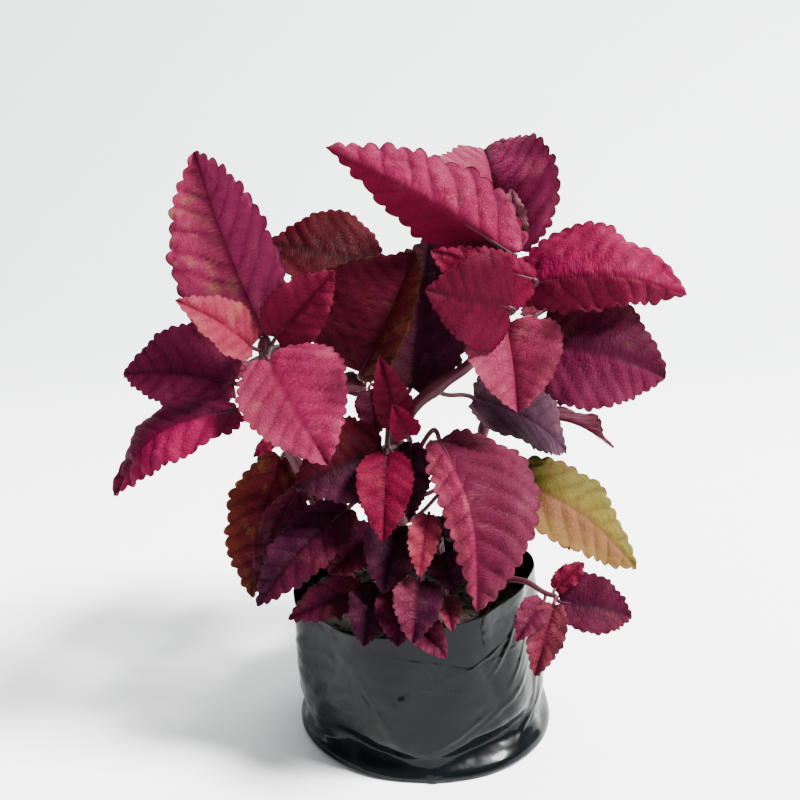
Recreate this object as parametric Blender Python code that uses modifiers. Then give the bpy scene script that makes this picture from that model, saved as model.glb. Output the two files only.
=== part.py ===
"""A coleus in a soft black nursery bag.

Four stems, five low leafy shoots and one trailing shoot stand in plain holes in the potting soil.
Each large leaf, blade and leafstalk together, is an object of its own, seated on its stem.
The small leaves are joined to the stem or shoot that they grow from.
The bag is one film shell, and the soil fills it to just under the rim.

The plant is modelled in millimetres, and place() turns each finished piece into metres.
The origin is the middle of the bag's flat base, +Z is up, and -Y is the side seen from the front.
"""

import math
from dataclasses import dataclass

import bmesh
import bpy
from mathutils import Matrix, Vector, geometry

MM = 0.001
CLEARANCE = 0.35

# The bag: a film shell with a flat base, a rolled lip round it, and a soft rim that leans left.
BAG_FILM = 0.9
BAG_SIDES = 40
BAG_LEAN = -7.0
RIM_HEIGHT = 72.0
RIM_RISE = 7.5
RIM_WAVE = 1.5
RIM_RIPPLE = 0.8
FOLD_WIDE = 0.9
FOLD_NARROW = 0.6
BASE_FLAT_RADIUS = 60.0
# Share of the rim's height, then radius: lip, tuck above the lip, belly and rim.
BAG_PROFILE = [
    (0.035, 63.0),
    (0.08, 62.4),
    (0.15, 59.8),
    (0.28, 60.8),
    (0.45, 60.6),
    (0.62, 59.8),
    (0.80, 58.8),
    (0.92, 58.0),
    (1.0, 58.2),
]

# The soil: a plug that stands clear of the film, a little higher in the middle.
SOIL_TOP = 58.0
SOIL_REACH = 57.0
SOIL_LUMP = 1.2
SOIL_CROWN = 1.5
SOIL_SIDES = 24
# Height and radius of each ring of its wall, then the radius of each ring of its top.
SOIL_WALL = [(1.25, 54.0), (5.0, 56.0), (30.0, 57.0), (54.0, 55.8)]
SOIL_TOP_RINGS = [54.7, 32.8, 13.7]
HOLE_ABOVE_SOIL = 12.0

# The leaf: a pointed oval with round teeth, widest at a little over a third of its length.
BLADE_THICKNESS = 0.8
ROUND_BASE = 0.5
POINTED_TIP = 0.92
TOOTH_DEPTH = 0.07
TOOTH_LEAN = 0.35
BASE_LOBE = 0.07
RUFFLE_WAVES = 3
# Blade length, teeth on each side, rows of points on the midrib, and rows beside it.
BLADE_STEPS = [
    (36.0, 7, 6, (0.2, 0.45, 0.7)),
    (19.0, 4, 4, (0.4,)),
    (0.0, 3, 3, ()),
]
STALK_RADIUS = 1.15
STALK_SUNK = 0.12
STALK_REACH = 0.4

# Each tint is a colour seen on the plant: linear red, green, blue, then roughness.
TINTS = {
    "magenta": (0.42, 0.035, 0.12, 0.55),
    "crimson": (0.25, 0.012, 0.05, 0.55),
    "maroon": (0.10, 0.010, 0.03, 0.6),
    "mauve": (0.16, 0.06, 0.12, 0.6),
    "olive": (0.32, 0.28, 0.06, 0.6),
    "stem": (0.10, 0.012, 0.035, 0.5),
    "soil": (0.035, 0.022, 0.014, 0.95),
    "film": (0.012, 0.014, 0.016, 0.3),
}


@dataclass
class Leaf:
    """base and tip end the midrib, faces is where the upper side looks, and width is the full blade's.

    node is the height on the stem where the leafstalk starts, or None for the nearest point.
    arch and sway bow the midrib up and sideways, as shares of its length. left and right are the
    degrees that each half is raised, seen with the tip up, and cup bends both on towards the margin.
    lean is the share of width that the left half takes from the right. twist turns the blade from
    base to tip, and ruffle is the height of the margin's waves.
    """

    node: float
    base: tuple
    tip: tuple
    faces: tuple
    width: float
    tint: str
    arch: float = 0.10
    sway: float = 0.0
    left: float = 12.0
    right: float = 12.0
    cup: float = 8.0
    lean: float = 0.0
    twist: float = 0.0
    ruffle: float = 1.1


@dataclass
class Stem:
    """path is a list of points on the axis from its foot in the soil, foot and top are radii."""

    path: list
    foot: float
    top: float


STEMS = {
    "stem_main": Stem(
        [(-12, -4, 42), (-13, -5, 80), (-14, -5, 115), (-15, -4, 150), (-17, -2, 174)], 4.2, 2.2
    ),
    "stem_left": Stem(
        [(-30, -2, 42), (-42, -6, 85), (-56, -12, 122), (-69, -16, 150), (-74, -18, 170), (-73, -18, 192)],
        3.2, 1.7,
    ),
    "stem_back": Stem(
        [(-18, 22, 42), (-20, 32, 90), (-18, 40, 140), (-16, 45, 180), (-15, 45, 208)], 3.4, 1.8
    ),
    "stem_back_right": Stem(
        [(14, 20, 42), (20, 32, 85), (30, 42, 130), (38, 46, 170), (40, 46, 200)], 3.2, 1.7
    ),
}
# The right branch forks off the main stem and carries the tallest crown.
RIGHT_BRANCH = Stem(
    [(-15, -4, 144), (-6, -5, 158), (6, -4, 168), (19, -6, 178), (31, -7, 194), (36, -5, 212), (34, -4, 227)],
    3.0, 1.8,
)

LEAVES = {
    "stem_left": {
        "leaf_left_crown": Leaf(
            190, (-74, -14, 193), (-108, 14, 274), (-0.25, -1, 0.2), 58, "magenta",
            arch=0.06, left=6, right=24,
        ),
        "leaf_left_pale": Leaf(
            186, (-78, -26, 189), (-104, -49, 211), (0.1, -0.9, 0.6), 24, "magenta", left=6, right=6
        ),
        "leaf_left_inner": Leaf(
            188, (-68, -20, 192), (-41, -27, 222), (0.1, -1, 0.15), 28, "crimson", arch=0.065
        ),
        "leaf_left_front": Leaf(
            180, (-70, -30, 184), (-43, -52, 143), (0, -1, 0.25), 48, "magenta",
            arch=0.12, left=-4, right=6, lean=0.15,
        ),
        "leaf_left_side_upper": Leaf(
            164, (-90, -6, 169), (-144, 2, 172), (0, -0.85, 0.5), 42, "crimson",
            arch=0.14, left=-6, right=2, lean=-0.2,
        ),
        "leaf_left_side_lower": Leaf(
            156, (-86, -24, 160), (-138, -36, 124), (-0.1, -0.5, 0.85), 36, "crimson",
            arch=0.24, left=-14, right=-8,
        ),
        "leaf_low_left_back": Leaf(
            130, (-70, 2, 131), (-84, -15, 66), (-0.4, -1, 0.1), 36, "maroon", left=5, right=8
        ),
        "leaf_low_left_mid": Leaf(
            114, (-59, -25, 123), (-77, -42, 84), (-0.5, -1, 0.3), 22, "crimson", left=5, right=-20
        ),
        "leaf_left_behind": Leaf(
            172, (-78, 6, 172), (-100, 56, 160), (-0.3, 0.4, 1), 44, "crimson", arch=0.14
        ),
    },
    "stem_back": {
        "leaf_left_back": Leaf(
            204, (-24, 33, 220), (-79, 26, 232), (0, -0.9, 0.45), 52, "maroon",
            arch=0.06, left=10, right=-10,
        ),
        "leaf_back_left": Leaf(
            200, (-28, 60, 206), (-66, 100, 210), (-0.3, 0.5, 1), 44, "crimson", arch=0.12
        ),
        "leaf_back_middle": Leaf(
            176, (-14, 62, 178), (-10, 116, 164), (0, 0.5, 1), 46, "crimson", arch=0.14
        ),
        "leaf_back_far_left": Leaf(
            150, (-36, 48, 154), (-84, 74, 138), (-0.3, 0.4, 1), 46, "maroon", arch=0.14
        ),
        "leaf_back_low": Leaf(
            112, (-30, 48, 116), (-52, 92, 92), (-0.2, 0.5, 1), 42, "maroon", arch=0.14
        ),
    },
    "stem_main": {
        "leaf_centre_upper": Leaf(
            172, (-31, -12, 175), (-6, -6, 230), (-0.15, -1, 0.1), 60, "maroon",
            arch=0.09, sway=0.03, left=-4, right=44, lean=0.4,
        ),
        "leaf_centre_back": Leaf(
            164, (-8, 11, 164), (1, 30, 236), (0, -1, 0.2), 48, "mauve", arch=0.14, left=10, right=14
        ),
        "leaf_centre_inner": Leaf(
            156, (-13, -20, 152), (-22, -33, 186), (0, -1, 0.1), 18, "crimson", arch=0.05
        ),
        "leaf_centre_left": Leaf(
            140, (-21, -26, 142), (-58, -48, 132), (-0.1, -1, 0.3), 39, "maroon", left=6, right=6
        ),
        "leaf_centre_low": Leaf(
            132, (-19, -36, 143), (-20, -60, 112), (0, -1, 0.35), 25, "crimson", left=10, right=10
        ),
        "leaf_centre_dark": Leaf(
            136, (-8, -21, 144), (-9, -33, 111), (0.2, -1, 0.2), 17, "maroon"
        ),
        "leaf_centre_behind": Leaf(
            120, (-18, 14, 124), (-28, 34, 92), (0, -1, 0.5), 34, "maroon"
        ),
        "leaf_low_left_front": Leaf(
            112, (-36, -34, 118), (-75, -54, 80), (-0.3, -1, 0.4), 26, "crimson",
            arch=0.16, left=-6, right=-6,
        ),
        "leaf_front_large": Leaf(
            130, (4, -36, 150), (18, -76, 88), (0.2, -1, 0.35), 43, "magenta",
            arch=0.16, sway=-0.05, left=-6, right=-15, lean=0.45,
        ),
        "leaf_right_olive": Leaf(
            112, (38, -2, 124), (101, -10, 79), (0.3, -0.75, 0.65), 44, "olive",
            arch=0.14, left=-10, right=-4,
        ),
        "leaf_right_under": Leaf(
            102, (20, 10, 115), (60, 9, 97), (0.3, -0.6, 0.8), 28, "crimson"
        ),
    },
    "right_branch": {
        "leaf_right_crown_left": Leaf(
            226, (38, -10, 228), (-44, -26, 273), (-0.05, -0.85, 0.5), 42, "magenta",
            arch=0.04, left=-75, right=8,
        ),
        "leaf_right_crown_under": Leaf(
            210, (47, -11, 217), (0, -21, 230), (0, -1, 0), 28, "crimson",
            arch=0.05, left=0, right=-25, lean=0.35,
        ),
        "leaf_right_crown_back": Leaf(
            220, (34, 6, 229), (29, 46, 278), (-0.1, -1, 0.6), 64, "magenta", arch=0.2, left=24, right=26
        ),
        "leaf_right_crown_right": Leaf(
            215, (43, -2, 214), (118, -6, 210), (0.05, -0.8, 0.6), 46, "magenta",
            arch=0.16, left=-8, right=-40, lean=0.3,
        ),
        "leaf_right_crown_front": Leaf(
            200, (34, -28, 206), (-3, -48, 215), (0.1, -1, 0.1), 41, "crimson", arch=0.1, left=0, right=0
        ),
        "leaf_right_hanging": Leaf(
            190, (34, -21, 197), (37, -43, 163), (0, -1, 0.3), 46, "magenta", left=22, right=22
        ),
        "leaf_right_side": Leaf(
            186, (52, -5, 188), (109, -10, 172), (0.1, -0.85, 0.5), 58, "magenta",
            arch=0.14, left=2, right=-10,
        ),
        "leaf_right_mauve": Leaf(
            166, (23, 9, 159), (72, 25, 128), (0.25, -0.7, 0.7), 44, "mauve", arch=0.12
        ),
    },
    "stem_back_right": {
        "leaf_back_high": Leaf(
            196, (34, 62, 200), (16, 108, 208), (-0.2, 0.5, 1), 46, "magenta", arch=0.12
        ),
        "leaf_back_far_right": Leaf(
            190, (56, 52, 194), (104, 70, 196), (0.4, 0.3, 1), 44, "crimson", arch=0.14
        ),
        "leaf_back_right": Leaf(
            158, (44, 62, 160), (62, 110, 142), (0.2, 0.5, 1), 44, "maroon", arch=0.14
        ),
        "leaf_back_side": Leaf(
            136, (50, 46, 140), (102, 48, 124), (0.4, 0.2, 1), 42, "crimson", arch=0.14
        ),
        "leaf_back_lowest": Leaf(
            110, (16, 52, 114), (14, 98, 92), (0, 0.5, 1), 42, "maroon", arch=0.14
        ),
    },
}

# Small leaves, each joined to its stem.
SPROUTS = {
    "stem_left": [
        Leaf(None, (-76, -22, 170), (-80, -30, 180), (0, -1, 0.4), 7, "crimson"),
        Leaf(None, (-70, -22, 146), (-78, -30, 140), (0, -1, 0.4), 7, "crimson"),
        Leaf(None, (-71, -12, 195), (-66, 0, 210), (-0.2, -1, 0.3), 12, "crimson"),
    ],
    "stem_main": [
        Leaf(None, (-27, -13, 167), (-23, -18, 147), (0, -1, 0.2), 16, "mauve"),
        Leaf(None, (-9, -30, 150), (-16, -42, 167), (0, -1, 0.1), 14, "crimson"),
    ],
    "right_branch": [
        Leaf(None, (38, 0, 232), (37, -2, 257), (0, -1, 0.3), 14, "mauve"),
    ],
    "stem_back": [
        Leaf(None, (-13, 48, 211), (-5, 58, 225), (0.3, -1, 0.4), 14, "crimson"),
        Leaf(None, (-17, 49, 211), (-28, 60, 224), (-0.3, -1, 0.4), 14, "crimson"),
    ],
    "stem_back_right": [
        Leaf(None, (43, 44, 203), (56, 40, 216), (0.2, -1, 0.4), 16, "crimson"),
        Leaf(None, (37, 46, 203), (26, 44, 218), (-0.2, -1, 0.4), 16, "crimson"),
    ],
}

# Each low shoot: its stem, then its leaves, all joined into one piece, and its colour.
SHOOTS = {
    "shoot_front": (
        Stem([(-6, -30, 44), (-5, -37, 70), (-3, -42, 96), (-1, -43, 114)], 2.0, 1.2),
        [
            Leaf(None, (-1, -53, 121), (-5, -69, 100), (-0.2, -1, 0.4), 14, "magenta"),
            Leaf(None, (-5, -62, 95), (-8, -81, 77), (0, -1, 0.4), 21, "mauve"),
            Leaf(None, (-6, -62, 78), (6, -78, 69), (0.1, -1, 0.4), 15, "crimson"),
        ],
        "mauve",
    ),
    "shoot_front_right": (
        Stem([(8, -26, 44), (8, -34, 70), (6, -40, 95), (4, -43, 112)], 2.0, 1.2),
        [
            Leaf(None, (4, -47, 118), (12, -54, 109), (0.3, -1, 0.4), 13, "mauve"),
            Leaf(None, (4, -52, 103), (10, -64, 91), (0.2, -1, 0.4), 17, "maroon"),
            Leaf(None, (6, -61, 88), (8, -77, 80), (0.1, -1, 0.4), 12, "mauve"),
        ],
        "maroon",
    ),
    "shoot_front_left": (
        Stem([(-22, -26, 44), (-21, -31, 70), (-19, -33, 92), (-17, -34, 106)], 2.0, 1.2),
        [
            Leaf(None, (-13, -56, 88), (-14, -74, 72), (0, -1, 0.4), 21, "maroon"),
            Leaf(None, (-22, -50, 88), (-28, -70, 70), (-0.2, -1, 0.4), 21, "maroon"),
            Leaf(None, (-24, -35, 107), (-44, -47, 92), (-0.2, -1, 0.5), 22, "crimson"),
            Leaf(None, (-14, -40, 111), (-20, -63, 90), (0, -0.8, 0.6), 26, "maroon"),
            Leaf(None, (-30, -43, 83), (-62, -51, 73), (-0.2, -0.9, 0.6), 18, "maroon"),
        ],
        "maroon",
    ),
    "shoot_trailing": (
        Stem(
            [(22, -18, 44), (27, -24, 66), (34, -30, 81), (43, -36, 84), (51, -41, 81), (56, -43, 80)],
            1.8, 1.1,
        ),
        [
            Leaf(None, (58, -42, 77), (91, -40, 69), (0, -0.8, 0.7), 28, "magenta"),
            Leaf(None, (56, -40, 82), (70, -33, 92), (-0.2, -1, 0.6), 11, "crimson"),
            Leaf(None, (54, -48, 78), (45, -60, 51), (-0.2, -1, 0.3), 17, "magenta"),
            Leaf(None, (50, -45, 78), (36, -62, 68), (-0.3, -0.9, 0.5), 14, "magenta"),
        ],
        "magenta",
    ),
    "shoot_back_left": (
        Stem([(-36, 20, 44), (-44, 28, 70), (-50, 34, 92), (-53, 36, 104)], 2.0, 1.2),
        [
            Leaf(None, (-56, 36, 106), (-86, 34, 104), (-0.4, 0, 1), 24, "crimson"),
            Leaf(None, (-54, 42, 102), (-66, 66, 96), (-0.3, 0.5, 1), 22, "maroon"),
            Leaf(None, (-56, 28, 90), (-82, 12, 80), (-0.6, -0.3, 0.9), 22, "maroon"),
            Leaf(None, (-52, 42, 84), (-76, 58, 70), (-0.5, 0.5, 0.8), 20, "maroon"),
        ],
        "maroon",
    ),
    "shoot_back_right": (
        Stem([(30, 18, 44), (38, 25, 72), (44, 31, 96), (47, 33, 110)], 2.0, 1.2),
        [
            Leaf(None, (54, 32, 110), (84, 28, 108), (0.4, 0, 1), 24, "crimson"),
            Leaf(None, (50, 40, 108), (60, 66, 102), (0.3, 0.5, 1), 22, "maroon"),
            Leaf(None, (50, 24, 92), (72, 6, 82), (0.5, -0.3, 0.9), 20, "maroon"),
            Leaf(None, (48, 40, 88), (66, 62, 76), (0.4, 0.5, 0.8), 22, "maroon"),
        ],
        "maroon",
    ),
}


def clear_scene():
    for old in list(bpy.data.objects):
        bpy.data.objects.remove(old, do_unlink=True)


def new_collection(name):
    collection = bpy.data.collections.new(name)
    bpy.context.scene.collection.children.link(collection)
    return collection


def material(tint):
    name = f"coleus_{tint}"
    if name in bpy.data.materials:
        return bpy.data.materials[name]
    made = bpy.data.materials.new(name)
    made.use_nodes = True
    red, green, blue, roughness = TINTS[tint]
    shader = made.node_tree.nodes["Principled BSDF"]
    shader.inputs["Base Color"].default_value = (red, green, blue, 1)
    shader.inputs["Roughness"].default_value = roughness
    shader.inputs["Metallic"].default_value = 0.0
    made.diffuse_color = (red, green, blue, 1)
    return made


def new_object(name, mesh, collection):
    made = bpy.data.objects.new(name, mesh)
    collection.objects.link(made)
    return made


def evaluated_mesh(source):
    """The mesh that an object's curve and modifiers give, with doubled points welded."""
    bpy.context.view_layer.update()
    evaluated = source.evaluated_get(bpy.context.evaluated_depsgraph_get())
    mesh = bpy.data.meshes.new_from_object(evaluated)
    shape = bmesh.new()
    shape.from_mesh(mesh)
    bmesh.ops.remove_doubles(shape, verts=shape.verts, dist=0.0001)
    shape.to_mesh(mesh)
    shape.free()
    return mesh


def smooth_path(points, steps):
    """Points on the smooth curve that passes through the given ones, a few between each two."""
    points = [Vector(point) for point in points]
    ends = [2 * points[0] - points[1]] + points + [2 * points[-1] - points[-2]]
    path = []
    for index in range(1, len(ends) - 2):
        before, here, after, beyond = ends[index - 1:index + 3]
        for step in range(steps):
            share = step / steps
            path.append(0.5 * (
                2 * here
                + (after - before) * share
                + (2 * before - 5 * here + 4 * after - beyond) * share ** 2
                + (3 * here - before - 3 * after + beyond) * share ** 3
            ))
    return path + [points[-1]]


def tube(name, path, radii, resolution, work):
    """A closed tube along the path, with one radius for each point."""
    curve = bpy.data.curves.new(name, "CURVE")
    curve.dimensions = "3D"
    curve.bevel_depth = 1.0
    curve.bevel_resolution = resolution
    curve.use_fill_caps = True
    spline = curve.splines.new("POLY")
    spline.points.add(len(path) - 1)
    for point, place_at, radius in zip(spline.points, path, radii):
        point.co = (*place_at, 1)
        point.radius = radius
    source = new_object(name, curve, work)
    made = new_object(name, evaluated_mesh(source), work)
    made.matrix_world = source.matrix_world
    bpy.data.objects.remove(source)
    return made


def join(name, pieces, work):
    """One closed body from overlapping closed pieces."""
    first, others = pieces[0], pieces[1:]
    if others:
        operands = bpy.data.collections.new(name)
        for piece in others:
            work.objects.unlink(piece)
            operands.objects.link(piece)
        bpy.context.scene.collection.children.link(operands)
        union = first.modifiers.new("union", "BOOLEAN")
        union.operation = "UNION"
        union.operand_type = "COLLECTION"
        union.collection = operands
    mesh = evaluated_mesh(first)
    for piece in pieces:
        bpy.data.objects.remove(piece)
    if others:
        bpy.data.collections.remove(operands)
    return new_object(name, mesh, work)


def place(piece, name, tint, origin, plant, work):
    """Turn a finished piece into metres, with its own origin where it stands or grows from."""
    piece.data.transform(Matrix.Scale(MM, 4) @ Matrix.Translation(-Vector(origin)))
    piece.name = piece.data.name = name
    piece.location = Vector(origin) * MM
    piece.data.materials.clear()
    piece.data.materials.append(material(tint))
    piece.data.shade_smooth()
    piece.data.set_sharp_from_angle(angle=math.radians(35))
    work.objects.unlink(piece)
    plant.objects.link(piece)


def stem_axis(stem, steps=3):
    return smooth_path(stem.path, steps)


def stem_radius(stem, share):
    return stem.foot + (stem.top - stem.foot) * share


def stem_tube(name, stem, work):
    axis = stem_axis(stem)
    radii = [stem_radius(stem, index / (len(axis) - 1)) for index in range(len(axis))]
    return tube(name, axis, radii, 1, work)


def blade_frame(leaf):
    """The blade's own axes: along the midrib, up from the blade, and to its right."""
    base, tip = Vector(leaf.base), Vector(leaf.tip)
    along = (tip - base).normalized()
    up = Vector(leaf.faces)
    up = (up - along * up.dot(along)).normalized()
    return base, (tip - base).length, along, up, along.cross(up)


def flat_reach(leaf, t, u):
    """How far to the right of the midrib a point lies, along the blade's surface."""
    widest = ROUND_BASE / (ROUND_BASE + POINTED_TIP)
    t = min(max(t, 0.0), 1.0)
    shape = (t / widest) ** ROUND_BASE * ((1 - t) / (1 - widest)) ** POINTED_TIP
    return u * leaf.width / 2 * shape * (1 - math.copysign(leaf.lean, u))


def blade_point(leaf, t, u):
    """A point of the blade: t runs from the base 0 to the tip 1, u from the left margin -1 to the right 1."""
    base, length, along, up, right = blade_frame(leaf)
    bow, slope = math.sin(math.pi * t), math.pi * math.cos(math.pi * t)
    centre = base + length * (along * t + up * leaf.arch * bow + right * leaf.sway * bow)
    forward = (along + up * leaf.arch * slope + right * leaf.sway * slope).normalized()
    turn = Matrix.Rotation(math.radians(leaf.twist) * (t - 0.5), 3, along)
    side = turn @ right
    side = (side - forward * side.dot(forward)).normalized()
    normal = side.cross(forward)
    reach = abs(flat_reach(leaf, t, u))
    raised = leaf.right if u > 0 else leaf.left
    bend = math.radians(raised + leaf.cup * reach / leaf.width)
    wave = leaf.ruffle * u * u * math.sin(math.pi * t) * math.sin(2 * math.pi * RUFFLE_WAVES * t + 2 * u)
    lobe = BASE_LOBE * length * abs(u) * (1 - t) ** 8
    return (
        centre
        + side * math.copysign(reach * math.cos(bend), u)
        + normal * (reach * math.sin(bend) + wave)
        - forward * lobe
    )


def margin(teeth):
    """The right margin from base to tip as (t, u): the dips and the round teeth that lean forward."""
    step = 0.5 / teeth
    points = []
    for index in range(1, 2 * teeth):
        t = index * step
        if index % 2:
            points.append((t + TOOTH_LEAN * step, 1 + TOOTH_DEPTH))
        else:
            points.append((t, 1 - TOOTH_DEPTH))
    return points


def blade(name, leaf, work):
    """The blade as a thin sheet, triangulated once and then thickened, so both faces are split alike."""
    length = blade_frame(leaf)[1]
    teeth, rib_rows, inner_rows = next(step[1:] for step in BLADE_STEPS if length > step[0])
    right_side = margin(teeth)
    left_side = [(t, -u) for t, u in reversed(right_side)]
    outline = [(0.0, 0.0)] + right_side + [(1.0, 0.0)] + left_side
    rib = [(row / rib_rows, 0.0) for row in range(1, rib_rows)]
    inner = [(t, side * 0.52) for t in inner_rows for side in (-1, 1)]
    spots = outline + rib + inner
    flat = [
        Vector((flat_reach(leaf, t, u), length * (t - BASE_LOBE * abs(u) * (1 - t) ** 8))) for t, u in spots
    ]
    ring = list(range(len(outline)))
    chain = [0] + list(range(len(outline), len(outline) + len(rib))) + [len(right_side) + 1]
    rib_edges = list(zip(chain, chain[1:]))
    found = geometry.delaunay_2d_cdt(flat, rib_edges, [ring], 1, 0.0001)
    corners, faces, sources = found[0], found[2], found[3]

    shape = bmesh.new()
    verts = [shape.verts.new(blade_point(leaf, *spots[sources[index][0]])) for index in range(len(corners))]
    for face in faces:
        shape.faces.new([verts[corner] for corner in face])
    bmesh.ops.triangulate(shape, faces=shape.faces)
    mesh = bpy.data.meshes.new(name)
    shape.to_mesh(mesh)
    shape.free()
    sheet = new_object(name, mesh, work)
    thicken = sheet.modifiers.new("thicken", "SOLIDIFY")
    thicken.thickness = BLADE_THICKNESS
    thicken.offset = 0
    made = new_object(name, evaluated_mesh(sheet), work)
    bpy.data.objects.remove(sheet)
    return made


def axis_at(stem, leaf):
    """Where a leafstalk leaves its stem: the point on the axis, the axis's direction and the radius."""
    axis = stem_axis(stem, steps=12)
    if leaf.node is None:
        index = min(range(len(axis)), key=lambda spot: (axis[spot] - Vector(leaf.base)).length)
    else:
        index = min(range(len(axis)), key=lambda spot: abs(axis[spot].z - leaf.node))
    before, after = axis[max(index - 1, 0)], axis[min(index + 1, len(axis) - 1)]
    return axis[index], (after - before).normalized(), stem_radius(stem, index / (len(axis) - 1))


def stalk(name, leaf, stem, seated, work):
    """The leafstalk: out from the stem, round to the blade's base and a little way under the midrib.

    A seated stalk starts just clear of the stem's surface, and a joined one starts on its axis.
    """
    base, length, along, up, _ = blade_frame(leaf)
    centre, direction, radius = axis_at(stem, leaf)
    out = base - centre
    out = (out - direction * out.dot(direction)).normalized()
    start = centre + out * (radius + CLEARANCE) if seated else centre
    handle = STALK_REACH * (base - start).length
    turns = [start, start + out * handle, base - along * handle, base]
    path = [bezier(turns, share) for share in ((0, 0.3, 0.65) if seated else (0, 0.55))]
    path += [base - up * 0.4, blade_point(leaf, STALK_SUNK, 0) - up * 0.2]
    thick = STALK_RADIUS * min(1.0, 0.45 + length / 100)
    radii = [thick * 1.15] + [thick] * (len(path) - 2) + [thick * 0.6]
    return tube(name, path, radii, 0, work)


def leafy_stem(name, stem, leaves, work):
    pieces = [stem_tube(name, stem, work)]
    for leaf in leaves:
        pieces += [blade(name, leaf, work), stalk(name, leaf, stem, False, work)]
    return pieces


def bezier(turns, share):
    rest = 1 - share
    weights = (rest ** 3, 3 * rest ** 2 * share, 3 * rest * share ** 2, share ** 3)
    return sum((turn * weight for turn, weight in zip(turns, weights)), Vector())


def rim_height(angle):
    """The rim is highest on the right, where the film stands up, and ripples a little all round."""
    wave = RIM_RISE * math.cos(angle) + RIM_WAVE * (math.cos(2 * angle) + math.sin(angle))
    return RIM_HEIGHT + wave + RIM_RIPPLE * math.sin(5 * angle + 1)


def bag_point(angle, share, radius, inset=0.0):
    """A point of the film at a share of the rim's height, with shallow folds that fade at the base."""
    folds = FOLD_WIDE * math.sin(7 * angle + 3 * share) + FOLD_NARROW * math.sin(12 * angle - 4 * share)
    folds *= min(1.0, share * 2)
    reach = radius + folds - inset
    return Vector((
        BAG_LEAN * share + reach * math.cos(angle),
        reach * math.sin(angle),
        rim_height(angle) * share,
    ))


def ring_of(make_point, sides):
    return [make_point(2 * math.pi * side / sides) for side in range(sides)]


def loft(shape, rings):
    """Faces between rings that have the same number of points, lowest ring first."""
    loops = [[shape.verts.new(point) for point in ring] for ring in rings]
    for low, high in zip(loops, loops[1:]):
        for side in range(len(low)):
            after = (side + 1) % len(low)
            shape.faces.new((low[side], low[after], high[after], high[side]))
    return loops


def make_bag(work):
    flat = ring_of(
        lambda angle: Vector((BASE_FLAT_RADIUS * math.cos(angle), BASE_FLAT_RADIUS * math.sin(angle), 0)),
        BAG_SIDES,
    )
    walls = [
        ring_of(lambda angle: bag_point(angle, share, radius), BAG_SIDES) for share, radius in BAG_PROFILE
    ]
    shape = bmesh.new()
    loops = loft(shape, [flat] + walls)
    shape.faces.new(list(reversed(loops[0])))
    bmesh.ops.triangulate(shape, faces=[face for face in shape.faces if len(face.verts) == 4])
    mesh = bpy.data.meshes.new("bag")
    shape.to_mesh(mesh)
    shape.free()
    sheet = new_object("bag", mesh, work)
    film = sheet.modifiers.new("film", "SOLIDIFY")
    film.thickness = BAG_FILM
    film.offset = -1
    made = new_object("bag", evaluated_mesh(sheet), work)
    bpy.data.objects.remove(sheet)
    return made


def make_soil(holes, work):
    """The soil plug: narrower than the film at the base, level with a few lumps on top."""
    def ring(height, radius):
        return lambda angle: Vector((
            BAG_LEAN * height / RIM_HEIGHT + radius * math.cos(angle), radius * math.sin(angle), height
        ))

    def lumpy_ring(radius):
        share = radius / SOIL_REACH
        return lambda angle: ring(SOIL_TOP, radius)(angle) + Vector((
            0, 0, SOIL_CROWN * (1 - share)
            + SOIL_LUMP * (math.sin(3 * angle + 9 * share) + math.sin(5 * angle - 7 * share)) / 2
        ))

    rings = [ring_of(ring(height, radius), SOIL_SIDES) for height, radius in SOIL_WALL]
    rings += [ring_of(lumpy_ring(radius), SOIL_SIDES) for radius in SOIL_TOP_RINGS]
    shape = bmesh.new()
    loops = loft(shape, rings)
    shape.faces.new(list(reversed(loops[0])))
    shape.faces.new(loops[-1])
    bmesh.ops.triangulate(shape, faces=shape.faces)
    mesh = bpy.data.meshes.new("soil")
    shape.to_mesh(mesh)
    shape.free()
    soil = new_object("soil", mesh, work)
    for hole in holes:
        cut = soil.modifiers.new("hole", "BOOLEAN")
        cut.operation = "DIFFERENCE"
        cut.object = hole
    made = new_object("soil", evaluated_mesh(soil), work)
    bpy.data.objects.remove(soil)
    return made


def make_hole(name, stem, cutters):
    """A blind hole that clears the stem all round, from just under its foot to above the soil."""
    axis = stem_axis(stem)
    start = (axis[1] - axis[0]).normalized()
    lowest_clear = next(index for index, point in enumerate(axis) if point.z > SOIL_TOP + HOLE_ABOVE_SOIL)
    path = [axis[0] - start * CLEARANCE] + axis[1:lowest_clear + 1]
    hole = tube(name, path, [stem.foot + 2 * CLEARANCE] * len(path), 1, cutters)
    hole.hide_render = True
    hole.display_type = "WIRE"
    return hole


def main():
    clear_scene()
    plant = new_collection("coleus")
    cutters = new_collection("cutters")
    work = new_collection("work")

    place(make_bag(work), "bag", "film", (0, 0, 0), plant, work)

    standing = dict(STEMS) | {name: stem for name, (stem, _, _) in SHOOTS.items()}
    holes = [make_hole(f"hole_{name}", stem, cutters) for name, stem in standing.items()]
    place(make_soil(holes, work), "soil", "soil", (0, 0, BAG_FILM + CLEARANCE), plant, work)

    for name, stem in STEMS.items():
        pieces = leafy_stem(name, stem, SPROUTS[name], work)
        if name == "stem_main":
            pieces += leafy_stem(name, RIGHT_BRANCH, SPROUTS["right_branch"], work)
        place(join(name, pieces, work), name, "stem", stem.path[0], plant, work)

    for name, (stem, leaves, tint) in SHOOTS.items():
        place(join(name, leafy_stem(name, stem, leaves, work), work), name, tint, stem.path[0], plant, work)

    for carrier, leaves in LEAVES.items():
        stem = RIGHT_BRANCH if carrier == "right_branch" else STEMS[carrier]
        for name, leaf in leaves.items():
            pieces = [blade(name, leaf, work), stalk(name, leaf, stem, True, work)]
            place(join(name, pieces, work), name, leaf.tint, leaf.base, plant, work)

    bpy.data.collections.remove(work)


if __name__ == "__main__":
    main()
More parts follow.
